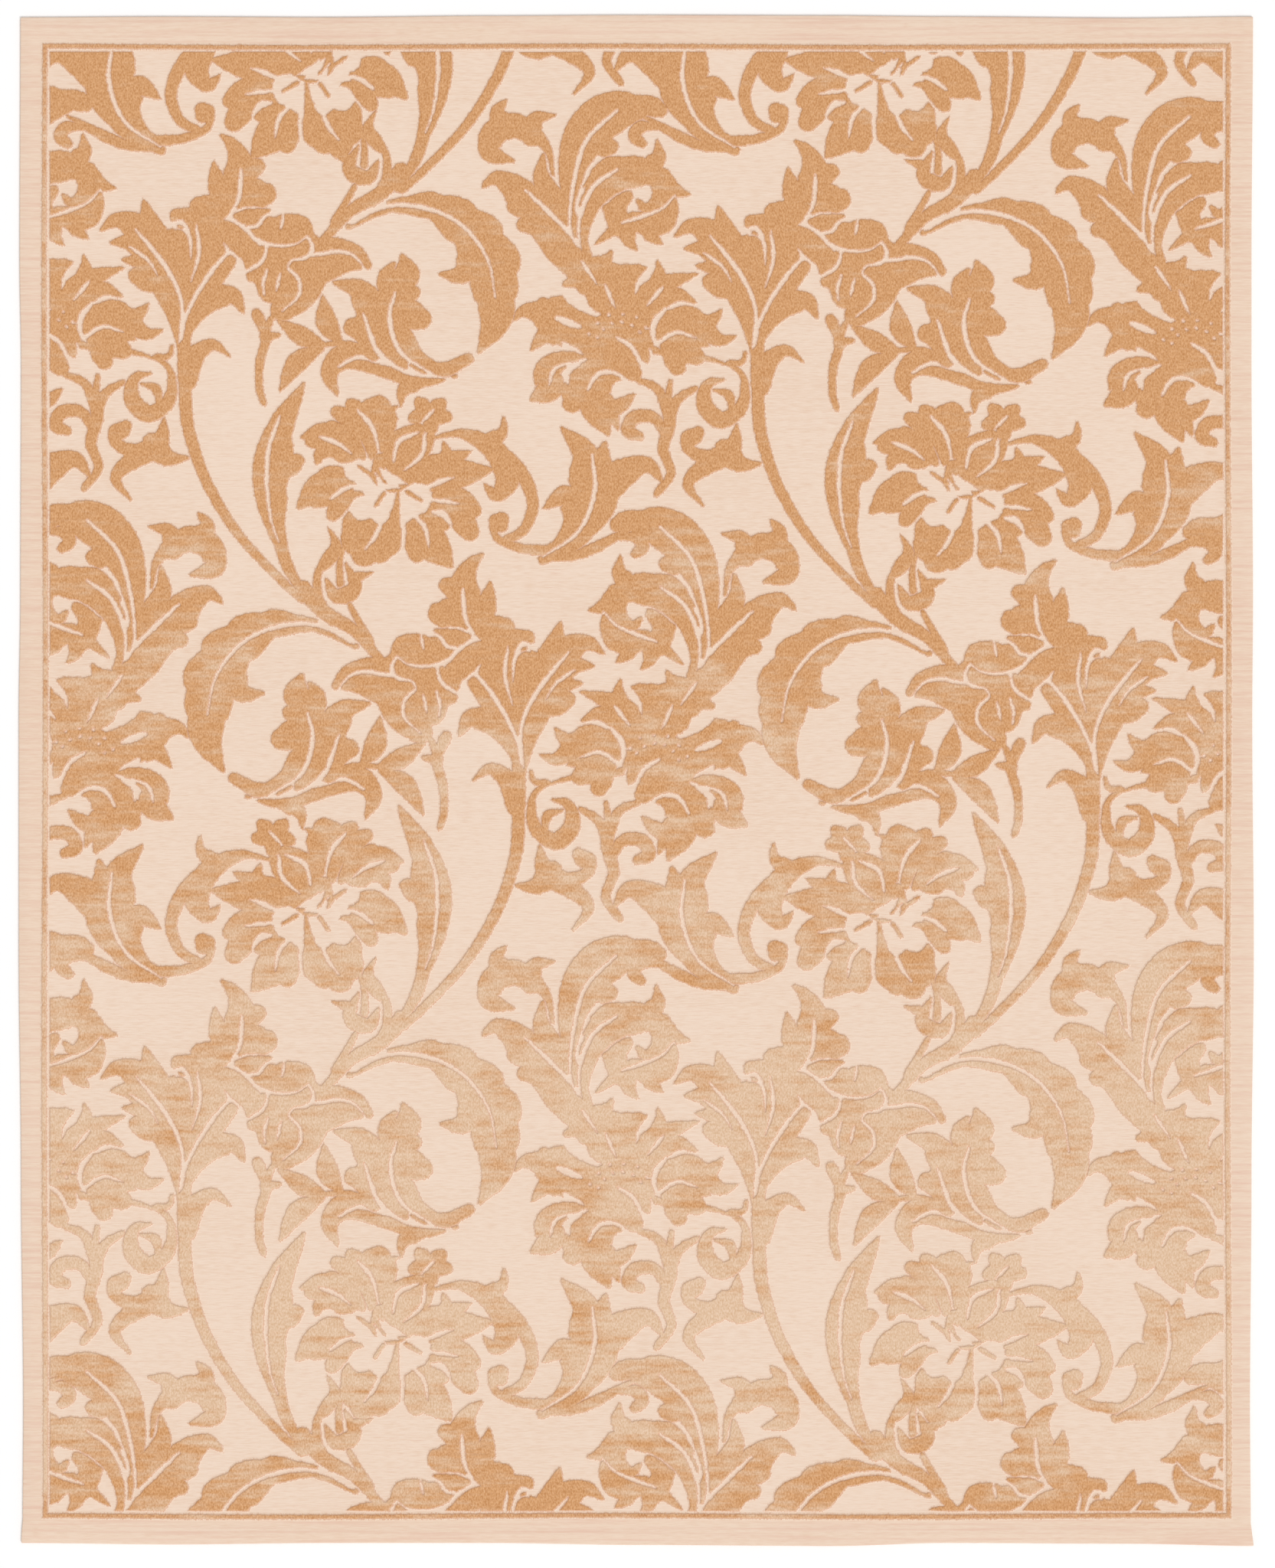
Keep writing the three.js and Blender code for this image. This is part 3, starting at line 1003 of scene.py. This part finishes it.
pileLook = {
    "deep": (194, 136, 84),
    "gold": (226, 174, 126),
    # pale and palest: the pile's gold under a painted sheen
    "sheenPale": (215, 178, 142),
    "sheenPalest": (236, 206, 179),
    # a painted highlight on the pile's sloping sides and along its foot
    "highlight": (241, 217, 196),
    # a painted shadow along the pile's sides, most on those facing down and to the right
    "rim": (205, 150, 118),
    # how much of the pile shows no painted sheen, and so stays gold rather than pale, from the lower end up
    "sheenLay": (
        (0.0, 0.7), (0.05, 0.52), (0.12, 0.27), (0.25, 0.28), (0.38, 0.46),
        (0.5, 0.66), (0.62, 0.78), (0.74, 0.9), (1.0, 1.0)),
    # noises: how often they change in a metre, across and up, their detail, seed and swing
    # patches, drifts, mottle, streaks and rows break up the painted sheen
    "patches": (6.5, 8, 3, 3, 1.25),
    "drifts": (1.7, 3, 2, 4, 0.8),
    "mottle": (17, 60, 3, 17, 1.2),
    "streaks": (3.5, 30, 3, 5, 0.7),
    "rows": (5, 150, 2, 6, 0.4),
    "speckle": (330, 190, 3, 11, 3.2),
    "shine": (90, 60, 2, 14, 0.8),
    "tufts": (420, 210, 3, 8),
    "turn": (0.12, 0.88),      # pile under the painted sheen turns to gold between these
    "streakyEnd": (0.04, 0.2), # from here down the painted sheen grows streakier, by this much
    "streakier": 1.2,
    # the pile's sides, from foot (0) to tips (1): where each colour ends, and how strong it is; the
    # highlight is a painted highlight and the rim colour a painted shadow
    "highlightEnds": (0.55, 0.95),
    "highlightShare": 0.55,
    "shadowEnds": (0.3, 0.6),
    "shadowShare": (0.35, 0.6),   # painted shadow on every side, and more on sides that face down and to the right
    # where the painted highlight along the pile's foot ends
    "footEnds": (0.14, 0.4),
    "raggedness": 0.9,         # how far the tufts blur these ends
    "roughness": 0.8,
    "specular": 0.2,
    "sheen": 0.15,
    "bump": {"Strength": 0.7, "Distance": 0.0009},
}


lineLook = {
    **pileLook,
    "deep": (192, 134, 88),
    "gold": (226, 176, 130),
    "highlight": (238, 214, 192),
    # the line's painted sheen, from the lower end up
    "sheenLay": ((0.0, 0.8), (0.02, 0.25), (0.3, 0.35), (0.6, 0.55), (0.98, 0.7), (1.0, 1.1)),
}


def pileMaterial(name, look):
    material, shader, place = newMaterial(name)
    side, lower, upper = fieldEdges()
    # painted sheen: where the pile shows pale instead of gold, set by height up the field, broken up by
    # noises and streakier near the lower end
    up = (place.axis("y") - lower) * (1 / (upper - lower))
    sheenLay = place.node("ShaderNodeValToRGB", {"stops": look["sheenLay"]}, {"Fac": up})
    sheenStreaking = 1 + (1 - up.between(*look["streakyEnd"])) * look["streakier"]
    unsheened = sheenLay + place.uneven(*look["patches"]) + place.uneven(*look["drifts"])
    unsheened = unsheened + place.uneven(*look["mottle"]) + place.uneven(*look["rows"])
    unsheened = unsheened + place.uneven(*look["streaks"]) * sheenStreaking
    shine = (place.uneven(*look["speckle"]) + place.uneven(*look["shine"]) + 0.5).clamped()
    goldPile = shine.blend(dye(*look["deep"]), dye(*look["gold"]))
    sheenedPile = shine.blend(dye(*look["sheenPale"]), dye(*look["sheenPalest"]))
    colour = unsheened.between(*look["turn"]).blend(sheenedPile, goldPile)
    foot, top = cloth["pileFoot"], cloth["pileHeight"]
    tufts = place.noise(*look["tufts"])
    rise = (place.axis("z") - foot) * (1 / (top - foot)) + (tufts - 0.5) * look["raggedness"]
    facing = place.node("ShaderNodeNewGeometry", output="Normal")
    # sides facing down and to the right, where the painted shadow is strongest
    shadedSides = 1 - (facing.axis("y") * 0.8 - facing.axis("x") * 0.5).between(-0.5, 0.5)
    # painted highlight on the pile's sloping sides
    highlight = (1 - rise.between(*look["highlightEnds"])) * look["highlightShare"]
    colour = highlight.blend(colour, dye(*look["highlight"]))
    # painted shadow along the pile's sides
    everywhere, more = look["shadowShare"]
    rim = (1 - rise.between(*look["shadowEnds"])) * (shadedSides * more + everywhere)
    colour = rim.blend(colour, dye(*look["rim"]))
    # the pile's foot is painted in the highlight colour, close to the ground's own, so it fades into the
    # ground
    colour = (1 - rise.between(*look["footEnds"])).blend(colour, dye(*look["highlight"]))
    connect(colour, shader, "Base Color")
    bump = place.node("ShaderNodeBump", {}, {**look["bump"], "Height": tufts})
    connect(bump, shader, "Normal")
    shader.inputs["Roughness"].default_value = look["roughness"]
    shader.inputs["Specular IOR Level"].default_value = look["specular"]
    shader.inputs["Sheen Weight"].default_value = look["sheen"]
    return material


# putting it together

ground = makeGround()
print("ground woven:", len(ground.data.vertices), "points")
line = makeLine()
print("raised line knotted")
figurePieces = makeFigure()
print("figure knotted")

groundWool = groundMaterial()
figurePile = pileMaterial("figure pile", pileLook)
ground.data.materials.append(groundWool)
line.data.materials.append(pileMaterial("line pile", lineLook))
for piece in figurePieces:
    piece.data.materials.append(figurePile)

for piece in [ground, line, *figurePieces]:
    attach(piece, "root")
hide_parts("rug")


# floor, light and camera

studio = {
    "photoHeight": 3.105,      # what the frame spans at the rug, from its lower edge to its upper
    "photoMiddle": (0.0023, -0.0068),  # the point under the camera
    "cameraHeight": 12.0,
    "floor": (0.98, 0.98, 0.98, 1),
    "floorSize": 40,
    "floorDrop": 0.0005,       # the floor lies this much below the rug, so that they don't touch
    "floorRoughness": 0.9,
    "sky": 0.62,               # strength of the even light, and of the lamp
    "lamp": 1.5,
    "lampTilt": (math.radians(32), 0, math.radians(35)),
    "lampAngle": math.radians(24),
}

bpy.ops.mesh.primitive_plane_add(size=studio["floorSize"], location=(0, 0, -studio["floorDrop"]))
floor = bpy.context.object
floor.name = "floor"
floorMaterial, floorShader, _ = newMaterial("floor")
floorShader.inputs["Base Color"].default_value = studio["floor"]
floorShader.inputs["Roughness"].default_value = studio["floorRoughness"]
floorShader.inputs["Specular IOR Level"].default_value = 0.0
floor.data.materials.append(floorMaterial)

world = bpy.data.worlds.new("studio")
world.use_nodes = True
world.node_tree.nodes["Background"].inputs["Color"].default_value = (1, 1, 1, 1)
world.node_tree.nodes["Background"].inputs["Strength"].default_value = studio["sky"]
bpy.context.scene.world = world
bpy.ops.object.light_add(type="SUN", location=(0, 0, 3), rotation=studio["lampTilt"])
lamp = bpy.context.object
lamp.name = "soft_lamp"
lamp.data.energy = studio["lamp"]
lamp.data.angle = studio["lampAngle"]

middleX, middleY = studio["photoMiddle"]
bpy.ops.object.camera_add(location=(middleX, middleY, studio["cameraHeight"]))
camera = bpy.context.object
camera.name = "camera"
tipsAway = studio["cameraHeight"] - cloth["pileHeight"]
camera.data.lens = camera.data.sensor_width * tipsAway / studio["photoHeight"]
bpy.context.scene.camera = camera
bpy.context.scene.view_settings.view_transform = "Standard"
